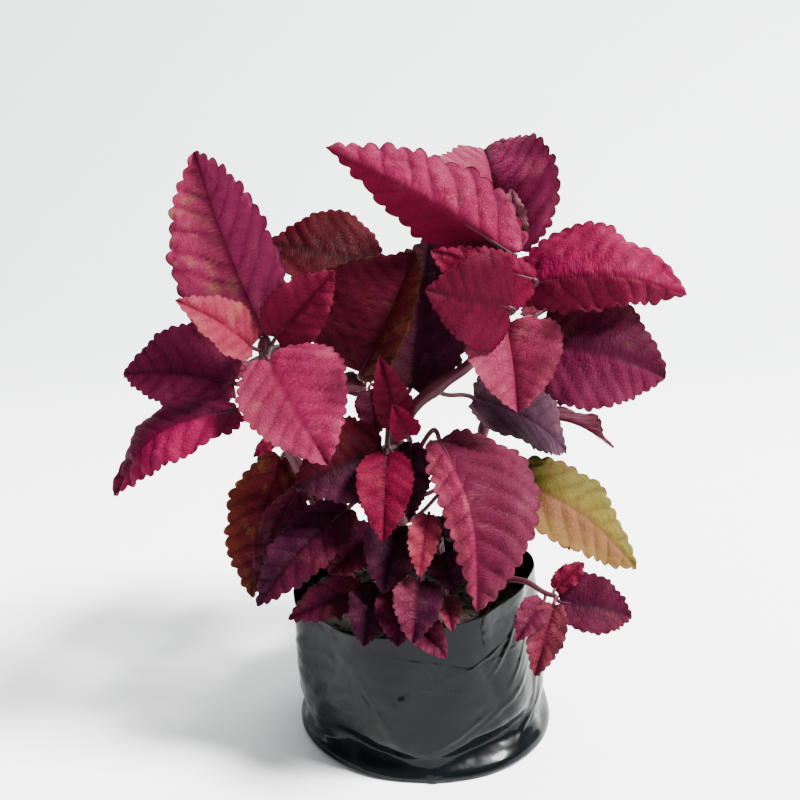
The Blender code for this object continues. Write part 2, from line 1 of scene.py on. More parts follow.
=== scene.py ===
from math import pi, radians

import bmesh
import bpy
import numpy as np
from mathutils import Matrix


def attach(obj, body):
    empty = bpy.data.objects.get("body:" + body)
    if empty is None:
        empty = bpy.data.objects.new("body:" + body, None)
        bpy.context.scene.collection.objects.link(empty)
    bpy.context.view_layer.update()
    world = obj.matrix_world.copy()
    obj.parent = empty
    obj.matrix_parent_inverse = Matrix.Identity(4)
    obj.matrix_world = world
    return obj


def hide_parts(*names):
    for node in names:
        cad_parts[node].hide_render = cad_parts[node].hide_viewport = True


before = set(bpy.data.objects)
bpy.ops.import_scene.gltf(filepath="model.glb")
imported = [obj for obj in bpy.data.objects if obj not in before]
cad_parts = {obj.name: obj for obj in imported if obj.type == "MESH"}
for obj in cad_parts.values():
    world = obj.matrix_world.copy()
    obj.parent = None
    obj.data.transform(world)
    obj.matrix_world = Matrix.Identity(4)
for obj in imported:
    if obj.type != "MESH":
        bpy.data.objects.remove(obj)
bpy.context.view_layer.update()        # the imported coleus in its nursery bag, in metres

mm = 0.001               # every size below is in millimetres, and makePiece turns it into metres


def inks(centre, edge, vein, blotch, blotches, rim):
    # A finish, in colours as the eye sees them, 0 to 255: the middle of the blade, its edge, the veins,
    # the blotches and how much of the blade they take, and the thin line along the teeth.
    return dict(centre=centre, edge=edge, vein=vein, blotch=blotch, blotches=blotches, rim=rim)


finishes = {
    "rose": inks((236, 98, 142), (230, 86, 136), (164, 48, 92), (250, 168, 152), 0.6, (104, 50, 70)),
    # This finish is rose made darker and purpler as it looks in shade: painted shade on the blade halves
    # that carry it.
    "shadedRose": inks((194, 70, 122), (208, 78, 128), (132, 36, 80), (226, 112, 142), 0.4, (96, 46, 68)),
    "brightRose": inks((196, 64, 110), (206, 80, 122), (146, 34, 78), (230, 116, 142), 0.45, (124, 52, 74)),
    "paleRose": inks((182, 70, 104), (196, 88, 116), (140, 40, 74), (208, 116, 128), 0.4, (130, 62, 80)),
    "salmon": inks((188, 72, 98), (198, 90, 108), (150, 44, 72), (210, 118, 118), 0.5, (140, 70, 70)),
    "magenta": inks((176, 40, 92), (190, 52, 102), (126, 24, 64), (206, 80, 122), 0.35, (96, 36, 56)),
    "mauveRose": inks((122, 42, 72), (146, 64, 92), (78, 20, 44), (162, 84, 106), 0.4, (110, 54, 70)),
    "dustyRose": inks((152, 62, 84), (168, 84, 98), (106, 34, 54), (184, 104, 112), 0.4, (110, 60, 66)),
    "wine": inks((138, 36, 68), (152, 44, 76), (94, 18, 42), (166, 62, 88), 0.35, (88, 34, 50)),
    "darkWine": inks((128, 38, 76), (142, 48, 84), (84, 22, 50), (160, 66, 100), 0.35, (84, 36, 54)),
    "crimson": inks((142, 26, 66), (154, 36, 74), (98, 14, 44), (170, 54, 88), 0.35, (90, 36, 52)),
    "deepRed": inks((112, 12, 54), (122, 18, 60), (80, 8, 38), (136, 28, 68), 0.2, (84, 26, 42)),
    "maroon": inks((84, 14, 32), (106, 26, 40), (54, 8, 22), (124, 46, 52), 0.35, (84, 44, 40)),
    "bronze": inks((108, 34, 46), (128, 60, 52), (70, 18, 30), (146, 102, 66), 0.42, (146, 128, 70)),
    "plumMaroon": inks((120, 36, 60), (136, 44, 68), (76, 16, 38), (142, 80, 70), 0.35, (120, 86, 66)),
    "violet": inks((74, 26, 52), (94, 38, 64), (46, 14, 36), (110, 60, 84), 0.3, (80, 46, 60)),
    "purple": inks((98, 28, 58), (116, 40, 68), (64, 14, 40), (132, 76, 66), 0.35, (90, 50, 56)),
    "greyMauve": inks((108, 70, 92), (124, 88, 104), (72, 38, 58), (140, 104, 116), 0.4, (100, 50, 60)),
    "mauvePink": inks((156, 84, 108), (178, 110, 116), (112, 50, 76), (188, 140, 112), 0.4, (150, 130, 90)),
    "olive": inks((160, 146, 80), (170, 160, 98), (116, 104, 54), (182, 112, 98), 0.4, (140, 70, 60)),
    "tan": inks((182, 124, 96), (178, 140, 92), (136, 88, 62), (190, 150, 100), 0.45, (150, 76, 70)),
}

# What every leaf shares. The outline and the bends are those of the solid leaves.
bladeForm = dict(roundBase=0.5, pointedTip=0.92, baseLobe=0.07, ruffleWaves=3, thickness=0.5,
                 toothSpacing=0.078, toothDepth=0.4, toothLean=1.2, toothRound=0.5,
                 veinPairs=8, veinSlope=0.62, veinCurl=0.32, veinWander=0.16, wanderSize=26,
                 quilt=0.015, ladder=0.045, rung=0.0022, midrib=0.9, grooveWidth=0.028, drift=2.5,
                 wrinkle=0.4, wrinkleSize=8)
leafDefaults = dict(node=None, arch=0.10, sway=0.0, left=12, right=12, cup=8, lean=0.0, ruffle=1.1)
stalkForm = dict(radius=1.15, clearance=0.35, reach=0.4, sides=10, steps=14)
stemForm = dict(sides=16, square=0.07, nodeSwell=0.28, nodeReach=3.2)


def plan(base, tip, faces, width, finish, rightFinish=None, **more):
    # One leaf: the ends of its midrib, where its upper side looks, its full width, its finish and, where
    # it has another, its right half's, then whatever else differs from leafDefaults. Where the halves'
    # finishes differ, the difference is partly the leaf's own colour and partly painted shade on a half in
    # shade.
    own = dict(base=base, tip=tip, faces=faces, width=width, finish=finish,
               rightFinish=rightFinish or finish)
    return {**leafDefaults, **own, **more}


# Each main stem: points on its axis from the soil up, then its radius at the foot and at the top.
stems = {
    "stem_main": dict(path=[(-12, -4, 42), (-13, -5, 80), (-14, -5, 115), (-15, -4, 150), (-17, -2, 174)],
                      foot=4.2, top=2.2),
    "stem_left": dict(path=[(-30, -2, 42), (-42, -6, 85), (-56, -12, 122), (-69, -16, 150),
                            (-74, -18, 170), (-73, -18, 192)], foot=3.2, top=1.7),
    "stem_back": dict(path=[(-18, 22, 42), (-20, 32, 90), (-18, 40, 140), (-16, 45, 180), (-15, 45, 208)],
                      foot=3.4, top=1.8),
    "stem_back_right": dict(path=[(14, 20, 42), (20, 32, 85), (30, 42, 130), (38, 46, 170), (40, 46, 200)],
                            foot=3.2, top=1.7),
    "right_branch": dict(path=[(-15, -4, 144), (-6, -5, 158), (6, -4, 168), (19, -6, 178), (31, -7, 194),
                               (36, -5, 212), (34, -4, 227)], foot=3.0, top=1.8),
}

# Each large leaf with the stem that carries it. node is the height where its stalk starts, left and
# right are the degrees that each half is raised, and lean is what the left half takes from the right.
leaves = {
    # Its right half's darker, purpler finish is painted shade.
    "leaf_left_crown": plan(
        (-74, -14, 193), (-108, 14, 274), (-0.25, -1, 0.2), 58, "rose", "shadedRose", slot="leaf_magenta",
        stem="stem_left", node=190, arch=0.06, left=6, right=24),
    "leaf_left_pale": plan(
        (-78, -26, 189), (-104, -49, 211), (0.1, -0.9, 0.6), 24, "salmon", slot="leaf_magenta",
        stem="stem_left", node=186, left=6, right=6),
    "leaf_left_inner": plan(
        (-68, -20, 192), (-41, -27, 222), (0.1, -1, 0.15), 28, "wine", slot="leaf_crimson",
        stem="stem_left", node=188, arch=0.065),
    "leaf_left_front": plan(
        (-70, -30, 184), (-43, -52, 143), (0, -1, 0.25), 48, "brightRose", "paleRose", slot="leaf_magenta",
        stem="stem_left", node=180, arch=0.12, left=-4, right=6, lean=0.15),
    "leaf_left_side_upper": plan(
        (-90, -6, 169), (-144, 2, 172), (0, -0.85, 0.5), 42, "darkWine", slot="leaf_crimson",
        stem="stem_left", node=164, arch=0.14, left=-6, right=2, lean=-0.2),
    "leaf_left_side_lower": plan(
        (-86, -24, 160), (-138, -36, 124), (-0.1, -0.5, 0.85), 36, "magenta", "darkWine",
        slot="leaf_crimson", stem="stem_left", node=156, arch=0.24, left=-14, right=-8),
    "leaf_low_left_back": plan(
        (-70, 2, 131), (-84, -15, 66), (-0.4, -1, 0.1), 36, "bronze", slot="leaf_maroon", stem="stem_left",
        node=130, left=5, right=8),
    "leaf_low_left_mid": plan(
        (-59, -25, 123), (-77, -42, 84), (-0.5, -1, 0.3), 22, "purple", slot="leaf_crimson",
        stem="stem_left", node=114, left=5, right=-20),
    "leaf_left_behind": plan(
        (-78, 6, 172), (-100, 56, 160), (-0.3, 0.4, 1), 44, "wine", slot="leaf_crimson", stem="stem_left",
        node=172, arch=0.14),
    "leaf_left_back": plan(
        (-24, 33, 220), (-79, 26, 232), (0, -0.9, 0.45), 52, "maroon", slot="leaf_maroon", stem="stem_back",
        node=204, arch=0.06, left=10, right=-10),
    "leaf_back_left": plan(
        (-28, 60, 206), (-66, 100, 210), (-0.3, 0.5, 1), 44, "wine", slot="leaf_crimson", stem="stem_back",
        node=200, arch=0.12),
    "leaf_back_middle": plan(
        (-14, 62, 178), (-10, 116, 164), (0, 0.5, 1), 46, "crimson", slot="leaf_crimson", stem="stem_back",
        node=176, arch=0.14),
    "leaf_back_far_left": plan(
        (-36, 48, 154), (-84, 74, 138), (-0.3, 0.4, 1), 46, "maroon", slot="leaf_maroon", stem="stem_back",
        node=150, arch=0.14),
    "leaf_back_low": plan(
        (-30, 48, 116), (-52, 92, 92), (-0.2, 0.5, 1), 42, "maroon", slot="leaf_maroon", stem="stem_back",
        node=112, arch=0.14),
    "leaf_centre_upper": plan(
        (-31, -12, 175), (-6, -6, 230), (-0.15, -1, 0.1), 60, "plumMaroon", "bronze", slot="leaf_maroon",
        stem="stem_main", node=172, arch=0.09, sway=0.03, left=-4, right=44, lean=0.4),
    "leaf_centre_back": plan(
        (-8, 11, 164), (1, 30, 236), (0, -1, 0.2), 48, "mauvePink", "violet", slot="leaf_mauve",
        stem="stem_main", node=164, arch=0.14, left=10, right=14),
    "leaf_centre_inner": plan(
        (-13, -20, 152), (-22, -33, 186), (0, -1, 0.1), 18, "wine", slot="leaf_crimson", stem="stem_main",
        node=156, arch=0.05),
    "leaf_centre_left": plan(
        (-21, -26, 142), (-58, -48, 132), (-0.1, -1, 0.3), 39, "violet", "maroon", slot="leaf_maroon",
        stem="stem_main", node=140, left=6, right=6),
    "leaf_centre_low": plan(
        (-19, -36, 143), (-20, -60, 112), (0, -1, 0.35), 25, "crimson", slot="leaf_crimson",
        stem="stem_main", node=132, left=10, right=10),
    "leaf_centre_dark": plan(
        (-8, -21, 144), (-9, -33, 111), (0.2, -1, 0.2), 17, "violet", slot="leaf_maroon", stem="stem_main",
        node=136),
    "leaf_centre_behind": plan(
        (-18, 14, 124), (-28, 34, 92), (0, -1, 0.5), 34, "maroon", slot="leaf_maroon", stem="stem_main",
        node=120),
    "leaf_low_left_front": plan(
        (-36, -34, 118), (-75, -54, 80), (-0.3, -1, 0.4), 26, "purple", "violet", slot="leaf_crimson",
        stem="stem_main", node=112, arch=0.16, left=-6, right=-6),
    "leaf_front_large": plan(
        (4, -36, 150), (18, -76, 88), (0.2, -1, 0.35), 43, "mauveRose", "paleRose", slot="leaf_magenta",
        stem="stem_main", node=130, arch=0.16, sway=-0.05, left=-6, right=-15, lean=0.45),
    "leaf_right_olive": plan(
        (38, -2, 124), (101, -10, 79), (0.3, -0.75, 0.65), 44, "olive", "tan", slot="leaf_olive",
        stem="stem_main", node=112, arch=0.14, left=-10, right=-4),
    "leaf_right_under": plan(
        (20, 10, 115), (60, 9, 97), (0.3, -0.6, 0.8), 28, "wine", slot="leaf_crimson", stem="stem_main",
        node=102),
    # The left half is the lower half, folded down; its deep crimson is painted shade.
    "leaf_right_crown_left": plan(
        (38, -10, 228), (-44, -26, 273), (-0.05, -0.85, 0.5), 42, "crimson", "brightRose",
        slot="leaf_magenta", stem="right_branch", node=226, arch=0.04, left=-75, right=8),
    # Its deep crimson is painted shade under the fold of leaf_right_crown_left.
    "leaf_right_crown_under": plan(
        (47, -11, 217), (0, -21, 230), (0, -1, 0), 28, "crimson", slot="leaf_crimson", stem="right_branch",
        node=210, arch=0.05, left=0, right=-25, lean=0.35),
    # Its right half's darker, purpler finish is painted shade.
    "leaf_right_crown_back": plan(
        (34, 6, 229), (29, 46, 278), (-0.1, -1, 0.6), 64, "paleRose", "shadedRose", slot="leaf_magenta",
        stem="right_branch", node=220, arch=0.2, left=24, right=26),
    "leaf_right_crown_right": plan(
        (43, -2, 214), (118, -6, 210), (0.05, -0.8, 0.6), 46, "magenta", "wine", slot="leaf_magenta",
        stem="right_branch", node=215, arch=0.16, left=-8, right=-40, lean=0.3),
    "leaf_right_crown_front": plan(
        (34, -28, 206), (-3, -48, 215), (0.1, -1, 0.1), 41, "deepRed", slot="leaf_crimson",
        stem="right_branch", node=200, arch=0.1, left=0, right=0),
    "leaf_right_hanging": plan(
        (34, -21, 197), (37, -43, 163), (0, -1, 0.3), 46, "paleRose", slot="leaf_magenta",
        stem="right_branch", node=190, left=22, right=22),
    "leaf_right_side": plan(
        (52, -5, 188), (109, -10, 172), (0.1, -0.85, 0.5), 58, "purple", "darkWine", slot="leaf_magenta",
        stem="right_branch", node=186, arch=0.14, left=2, right=-10),
    "leaf_right_mauve": plan(
        (23, 9, 159), (72, 25, 128), (0.25, -0.7, 0.7), 44, "greyMauve", slot="leaf_mauve",
        stem="right_branch", node=166, arch=0.12),
    "leaf_back_high": plan(
        (34, 62, 200), (16, 108, 208), (-0.2, 0.5, 1), 46, "brightRose", slot="leaf_magenta",
        stem="stem_back_right", node=196, arch=0.12),
    "leaf_back_far_right": plan(
        (56, 52, 194), (104, 70, 196), (0.4, 0.3, 1), 44, "wine", slot="leaf_crimson",
        stem="stem_back_right", node=190, arch=0.14),
    "leaf_back_right": plan(
        (44, 62, 160), (62, 110, 142), (0.2, 0.5, 1), 44, "maroon", slot="leaf_maroon",
        stem="stem_back_right", node=158, arch=0.14),
    "leaf_back_side": plan(
        (50, 46, 140), (102, 48, 124), (0.4, 0.2, 1), 42, "wine", slot="leaf_crimson",
        stem="stem_back_right", node=136, arch=0.14),
    "leaf_back_lowest": plan(
        (16, 52, 114), (14, 98, 92), (0, 0.5, 1), 42, "maroon", slot="leaf_maroon", stem="stem_back_right",
        node=110, arch=0.14),
}


# Small leaves that are joined to each stem.
sprouts = {
    "stem_left": [
        plan((-76, -22, 170), (-80, -30, 180), (0, -1, 0.4), 7, "crimson"),
        plan((-70, -22, 146), (-78, -30, 140), (0, -1, 0.4), 7, "crimson"),
        plan((-71, -12, 195), (-66, 0, 210), (-0.2, -1, 0.3), 12, "wine"),
    ],
    "stem_main": [
        plan((-27, -13, 167), (-23, -18, 147), (0, -1, 0.2), 16, "purple"),
        plan((-9, -30, 150), (-16, -42, 167), (0, -1, 0.1), 14, "crimson"),
    ],
    "right_branch": [
        plan((38, 0, 232), (37, -2, 257), (0, -1, 0.3), 14, "mauvePink"),
    ],
    "stem_back": [
        plan((-13, 48, 211), (-5, 58, 225), (0.3, -1, 0.4), 14, "wine"),
        plan((-17, 49, 211), (-28, 60, 224), (-0.3, -1, 0.4), 14, "wine"),
    ],
    "stem_back_right": [
        plan((43, 44, 203), (56, 40, 216), (0.2, -1, 0.4), 16, "crimson"),
        plan((37, 46, 203), (26, 44, 218), (-0.2, -1, 0.4), 16, "wine"),
    ],
}

# Each low shoot: its stem, and the leaves joined to it.
shoots = {
    "shoot_front": dict(
        slot="leaf_mauve",
        stem=dict(path=[(-6, -30, 44), (-5, -37, 70), (-3, -42, 96), (-1, -43, 114)], foot=2.0, top=1.2),
        leaves=[
            plan((-1, -53, 121), (-5, -69, 100), (-0.2, -1, 0.4), 14, "salmon"),
            plan((-5, -62, 95), (-8, -81, 77), (0, -1, 0.4), 21, "violet", "mauveRose"),
            plan((-6, -62, 78), (6, -78, 69), (0.1, -1, 0.4), 15, "mauveRose"),
        ]),
    "shoot_front_right": dict(
        slot="leaf_maroon",
        stem=dict(path=[(8, -26, 44), (8, -34, 70), (6, -40, 95), (4, -43, 112)], foot=2.0, top=1.2),
        leaves=[
            plan((4, -47, 118), (12, -54, 109), (0.3, -1, 0.4), 13, "greyMauve"),
            plan((4, -52, 103), (10, -64, 91), (0.2, -1, 0.4), 17, "violet"),
            plan((6, -61, 88), (8, -77, 80), (0.1, -1, 0.4), 12, "dustyRose"),
        ]),
    "shoot_front_left": dict(
        slot="leaf_maroon",
        stem=dict(path=[(-22, -26, 44), (-21, -31, 70), (-19, -33, 92), (-17, -34, 106)], foot=2.0, top=1.2),
        leaves=[
            plan((-13, -56, 88), (-14, -74, 72), (0, -1, 0.4), 21, "purple"),
            plan((-22, -50, 88), (-28, -70, 70), (-0.2, -1, 0.4), 21, "violet"),
            plan((-24, -35, 107), (-44, -47, 92), (-0.2, -1, 0.5), 22, "purple"),
            plan((-14, -40, 111), (-20, -63, 90), (0, -0.8, 0.6), 26, "violet"),
            plan((-30, -43, 83), (-62, -51, 73), (-0.2, -0.9, 0.6), 18, "purple"),
        ]),
    "shoot_trailing": dict(
        slot="leaf_magenta",
        stem=dict(path=[(22, -18, 44), (27, -24, 66), (34, -30, 81), (43, -36, 84), (51, -41, 81),
                        (56, -43, 80)], foot=1.8, top=1.1),
        leaves=[
            plan((58, -42, 77), (91, -40, 69), (0, -0.8, 0.7), 28, "purple"),
            plan((56, -40, 82), (70, -33, 92), (-0.2, -1, 0.6), 11, "wine"),
            plan((54, -48, 78), (45, -60, 51), (-0.2, -1, 0.3), 17, "dustyRose"),
            plan((50, -45, 78), (36, -62, 68), (-0.3, -0.9, 0.5), 14, "mauveRose"),
        ]),
    "shoot_back_left": dict(
        slot="leaf_maroon",
        stem=dict(path=[(-36, 20, 44), (-44, 28, 70), (-50, 34, 92), (-53, 36, 104)], foot=2.0, top=1.2),
        leaves=[
            plan((-56, 36, 106), (-86, 34, 104), (-0.4, 0, 1), 24, "wine"),
            plan((-54, 42, 102), (-66, 66, 96), (-0.3, 0.5, 1), 22, "maroon"),
            plan((-56, 28, 90), (-82, 12, 80), (-0.6, -0.3, 0.9), 22, "maroon"),
            plan((-52, 42, 84), (-76, 58, 70), (-0.5, 0.5, 0.8), 20, "maroon"),
        ]),
    "shoot_back_right": dict(
        slot="leaf_maroon",
        stem=dict(path=[(30, 18, 44), (38, 25, 72), (44, 31, 96), (47, 33, 110)], foot=2.0, top=1.2),
        leaves=[
            plan((54, 32, 110), (84, 28, 108), (0.4, 0, 1), 24, "wine"),
            plan((50, 40, 108), (60, 66, 102), (0.3, 0.5, 1), 22, "maroon"),
            plan((50, 24, 92), (72, 6, 82), (0.5, -0.3, 0.9), 20, "maroon"),
            plan((48, 40, 88), (66, 62, 76), (0.4, 0.5, 0.8), 22, "maroon"),
        ]),
}


def unit(vectors):  # each vector over its own length
    return vectors / np.maximum(np.linalg.norm(vectors, axis=-1, keepdims=True), 1e-9)


def column(values):  # numbers with one more axis, so that they scale vectors
    return np.asarray(values, float)[..., None]


def joined(*values):  # one array of points from their x, y and z, each a number or an array
    return np.stack(np.broadcast_arrays(*values), -1)


def ripple(points, size, seed, waves=6):
    # Smooth wandering from about -1 to 1: a mean of sine waves that run in drawn directions.
    draw = np.random.default_rng(int(seed * 10) + 50)
    ways = unit(draw.normal(size=(waves, points.shape[-1]))) * draw.uniform(0.6, 1.6, (waves, 1))
    return np.sin(points @ ways.T * (2 * pi / size) + draw.uniform(0, 2 * pi, waves)).mean(-1) * 1.6


def smoothStep(values, low, high):  # 0 below low, 1 above high, and an s-curve between
    share = np.clip((values - low) / (high - low), 0, 1)
    return share * share * (3 - 2 * share)


def smoothPath(points, steps):
    # A cubic curve through the points: from b to c, half of 2b + (c-a)s + (2a-5b+4c-d)s2 + (3b-a-3c+d)s3.
    points = np.array(points, float)
    ends = np.vstack([2 * points[0] - points[1], points, 2 * points[-1] - points[-2]])
    a, b, c, d = (ends[first:len(ends) - 3 + first, None] for first in range(4))
    s = column(np.arange(steps) / steps)
    path = 0.5 * (2 * b + (c - a) * s + (2 * a - 5 * b + 4 * c - d) * s**2 + (3 * b - a - 3 * c + d) * s**3)
    return np.vstack([path.reshape(-1, 3), points[-1]])


def gridFaces(rows, columns, start=0, turned=False):
    # The four-sided faces of a grid of rows times columns points, numbered row by row.
    corner = start + np.arange(rows - 1)[:, None] * columns + np.arange(columns - 1)
    order = (0, columns, columns + 1, 1) if turned else (0, 1, columns + 1, columns)
    return np.stack([corner + step for step in order], -1).reshape(-1, 4)


def part(points, faces, look=0, flat=None, under=None, **values):
    # One surface of a piece: its points, faces, material number, flat map, and what each point carries.
    points = points.reshape(-1, 3)
    return dict(points=points, faces=faces, look=np.full(len(faces), look),
                flat=np.zeros((len(points), 2)) if flat is None else flat.reshape(-1, 2),
                under=np.zeros(len(faces)) if under is None else under,
                values={name: np.broadcast_to(value, len(points)) if np.ndim(value) == 0
                        else value.ravel() for name, value in values.items()})


def makePiece(name, parts, materials, sharp=50):
    # Stacks the surfaces into one mesh, welds the poles and margins, and turns its faces outwards.
    starts = np.cumsum([0] + [len(one["points"]) for one in parts])
    points = np.concatenate([one["points"] for one in parts]) * mm
    faces = np.concatenate([one["faces"] + start for one, start in zip(parts, starts)])
    mesh = bpy.data.meshes.new(name)
    mesh.vertices.add(len(points))
    mesh.vertices.foreach_set("co", points.ravel())
    mesh.loops.add(faces.size)
    mesh.loops.foreach_set("vertex_index", faces.ravel())
    mesh.polygons.add(len(faces))
    mesh.polygons.foreach_set("loop_start", np.arange(len(faces)) * 4)
    mesh.polygons.foreach_set("material_index", np.concatenate([one["look"] for one in parts]))
    flat = np.concatenate([one["flat"] for one in parts])
    mesh.uv_layers.new(name="flat").data.foreach_set("uv", flat[faces.ravel()].ravel())
    for value in sorted({key for one in parts for key in one["values"]}):
        numbers = [one["values"].get(value, np.zeros(len(one["points"]))) for one in parts]
        mesh.attributes.new(value, "FLOAT", "POINT").data.foreach_set("value", np.concatenate(numbers))
    under = np.concatenate([one["under"] for one in parts]).astype(float)
    mesh.attributes.new("under", "FLOAT", "FACE").data.foreach_set("value", under)
    mesh.update(calc_edges=True)
    shape = bmesh.new()
    shape.from_mesh(mesh)
    bmesh.ops.remove_doubles(shape, verts=shape.verts, dist=0.000002)
    bmesh.ops.recalc_face_normals(shape, faces=shape.faces)
    shape.to_mesh(mesh)
    shape.free()
    for material in materials:
        mesh.materials.append(material)
    mesh.shade_smooth()
    mesh.set_sharp_from_angle(angle=radians(sharp))
    piece = bpy.data.objects.new(name, mesh)
    bpy.context.scene.collection.objects.link(piece)
    return piece


def tubePart(path, radii, sides, look, square=0.0):
    # A ring round each point of the path at its radius times 1 + square cos 4a, with a pole at each end.
    # Rings are turned by the path's own plane, which is where its points spread least.
    tangents = unit(np.gradient(path, axis=0))
    across = unit(np.cross(tangents, np.linalg.svd(path - path.mean(0))[2][2]))
    above = np.cross(across, tangents)
    angles = np.linspace(0, 2 * pi, sides + 1)
    reach = column(np.outer(radii, 1 + square * np.cos(4 * angles)))
    rings = path[:, None] + reach * (across[:, None] * column(np.cos(angles))
                                     + above[:, None] * column(np.sin(angles)))
    poles = [np.repeat(path[end][None, None], sides + 1, 1) for end in (0, -1)]
    points = np.concatenate([poles[0], rings, poles[1]])
    rows = len(points)
    travelled = np.cumsum(np.r_[0, np.linalg.norm(np.diff(path, axis=0), axis=1)])
    travelled = travelled[np.r_[0, np.arange(rows - 2), rows - 3]]
    flat = joined(angles / (2 * pi), column(travelled / 100))
    return part(points, gridFaces(rows, sides + 1), look, flat)


print("coleus: helpers ready")


def bladeAxes(leaf):
    # The blade's own axes: along the midrib, up from the blade, and to its right.
    base, tip = np.array(leaf["base"], float), np.array(leaf["tip"], float)
    length = np.linalg.norm(tip - base)
    along = (tip - base) / length
    up = np.array(leaf["faces"], float)
    up = unit(up - along * (up @ along))
    return base, length, along, up, np.cross(along, up)


def halfWidth(leaf, t, side):
    # The smooth margin's distance from the midrib: a rounded base times a pointed tip.
    form = bladeForm
    widest = form["roundBase"] / (form["roundBase"] + form["pointedTip"])
    shape = (t / widest) ** form["roundBase"] * ((1 - t) / (1 - widest)) ** form["pointedTip"]
    return leaf["width"] / 2 * shape * (1 - side * leaf["lean"])


def lobeOf(length, t, across):  # how far the halves reach back past the stalk
    return bladeForm["baseLobe"] * length * across * (1 - t) ** 8 * (1 - np.exp(-t / 0.01))


def toothedMargin(leaf, length, side, rows, seed):
    # One margin, with rows of points at equal steps of its own length, and the teeth that stand on it.
    # A tooth is sin(pi p^lean)^round over its own stretch p, so that it is round and leans forward.
    form = bladeForm
    fine = np.linspace(0, 1, 900) ** 1.5
    across = halfWidth(leaf, fine, side)
    down = length * fine - lobeOf(length, fine, 1)
    travelled = np.cumsum(np.r_[0, np.hypot(np.diff(across), np.diff(down))])
    share = np.linspace(0, 1, rows)
    t = np.interp(share, travelled / travelled[-1], fine)
    x, y = halfWidth(leaf, t, side), length * t - lobeOf(length, t, 1)
    outward = unit(np.stack([np.gradient(y), -np.gradient(x)], -1))
    spacing = form["toothSpacing"] * length * (1 if length > 35 else 1.35)
    count = max(4, round(travelled[-1] / spacing))
    stretch = share * count + 0.12 * np.sin(share * 9 + seed)
    place = stretch % 1
    bump = np.sin(pi * place ** form["toothLean"]) ** form["toothRound"]
    size = 1 + 0.22 * np.sin(np.floor(stretch) * 2.4 + seed)
    ends = smoothStep(share, 0.02, 0.12) * smoothStep(1 - share, 0.0, 0.07)
    height = form["toothDepth"] * travelled[-1] / count * (bump * size - 0.65) * ends
    return t, height[:, None] * outward


def bladeSurface(leaf, seed):
    # The blade between its margins. A point lies across the midrib by its reach, bent up by the half's
    # own angle plus the cup, along a midrib that bows up and sideways as a half sine wave.
    form = bladeForm
    base, length, along, up, right = bladeAxes(leaf)
    rows = int(np.clip(length * 2.0, 36, 150))
    half = int(np.clip(length / 5, 6, 14))
    spread = 1 - (1 - np.linspace(0, 1, half + 1)) ** 1.3
    u = np.r_[-spread[:0:-1], spread][None]
    across = abs(u)
    teeth = [toothedMargin(leaf, length, side, rows, seed + side) for side in (-1, 1)]
    t = np.where(u < 0, teeth[0][0][:, None], teeth[1][0][:, None])
    offset = np.where(column(u) < 0, teeth[0][1][:, None], teeth[1][1][:, None]) * column(across ** 6)
    bow, slope = np.sin(pi * t), pi * np.cos(pi * t)
    bend = up * leaf["arch"] + right * leaf["sway"]
    centre = base + length * (along * column(t) + bend * column(bow))
    forward = unit(along + bend * column(slope))
    side = unit(right - forward * (right * forward).sum(-1, keepdims=True))
    normal = np.cross(side, forward)
    reach = across * np.where(u < 0, halfWidth(leaf, t, -1), halfWidth(leaf, t, 1))
    angle = np.radians(np.where(u < 0, leaf["left"], leaf["right"]) + leaf["cup"] * reach / leaf["width"])
    wave = leaf["ruffle"] * u * u * bow * np.sin(2 * pi * form["ruffleWaves"] * t + 2 * u)
    wide = reach + offset[..., 0]
    tall = length * t - lobeOf(length, t, across) + offset[..., 1]

    # Side veins run forward from the midrib and curl towards the tip. Between them the blade is quilted:
    # |sin|^0.6 across each vein's stretch, crossed by a finer ladder of small swellings. A broad drift
    # bends the margin, and fine wrinkles lie over it all.
    big = min(1.0, length / 70)
    pairs = form["veinPairs"] * (0.55 + 0.45 * big)
    rank = pairs * (tall - form["veinSlope"] * wide - form["veinCurl"] * wide**2 / leaf["width"]) / length
    spot = joined(u * wide, tall)
    wander = form["veinWander"] * ripple(spot, form["wanderSize"], seed + 5)
    rank = rank + np.where(u < 0, 0.0, 0.35) + wander
    swell = abs(np.sin(pi * rank))
    step = form["ladder"] * length + 1.2
    rungs = np.sin(2 * pi * (wide + 0.4 * tall) / step + 2.1 * np.floor(rank) + seed)
    awayFromRib = smoothStep(wide, 0.0, 0.07 * leaf["width"])
    quilt = form["quilt"] * length * (swell ** 0.6 - 0.55) * awayFromRib * (1 - 0.45 * across**4)
    quilt = quilt + form["rung"] * length * rungs * swell * awayFromRib
    groove = -form["midrib"] * big * np.exp(-(wide / (form["grooveWidth"] * leaf["width"] + 0.3)) ** 2)
    drift = ripple(spot, 30 * big + 10, seed) * form["drift"] * big * across
    wrinkle = ripple(spot, form["wrinkleSize"], seed + 9, 9) * form["wrinkle"] * big * awayFromRib
    lift = wave + quilt + groove + drift + wrinkle

    points = centre + side * column(np.sign(u) * wide * np.cos(angle))
    points = points + normal * column(wide * np.sin(angle) + lift) + forward * column(tall - length * t)
    normals = unit(np.cross(np.gradient(points, axis=1), np.gradient(points, axis=0)))
    normals[0], normals[-1] = normals[1], normals[-2]
    thick = form["thickness"] * (0.55 + 0.45 * big) * np.sqrt(np.clip(1 - across**4, 0, 1)) * np.ones_like(t)
    thick[0] = thick[-1] = 0
    vein = np.exp(-(swell / 0.2) ** 2) * awayFromRib * (1 - 0.5 * across) + np.exp(-(wide / 0.9) ** 2)
    values = dict(across=across * np.ones_like(t), rightHalf=smoothStep(u, -0.12, 0.12) * np.ones_like(t),
                  vein=np.clip(vein, 0, 1), swell=swell * awayFromRib)
    return points, normals, thick, joined(u * wide, tall) / 100, values


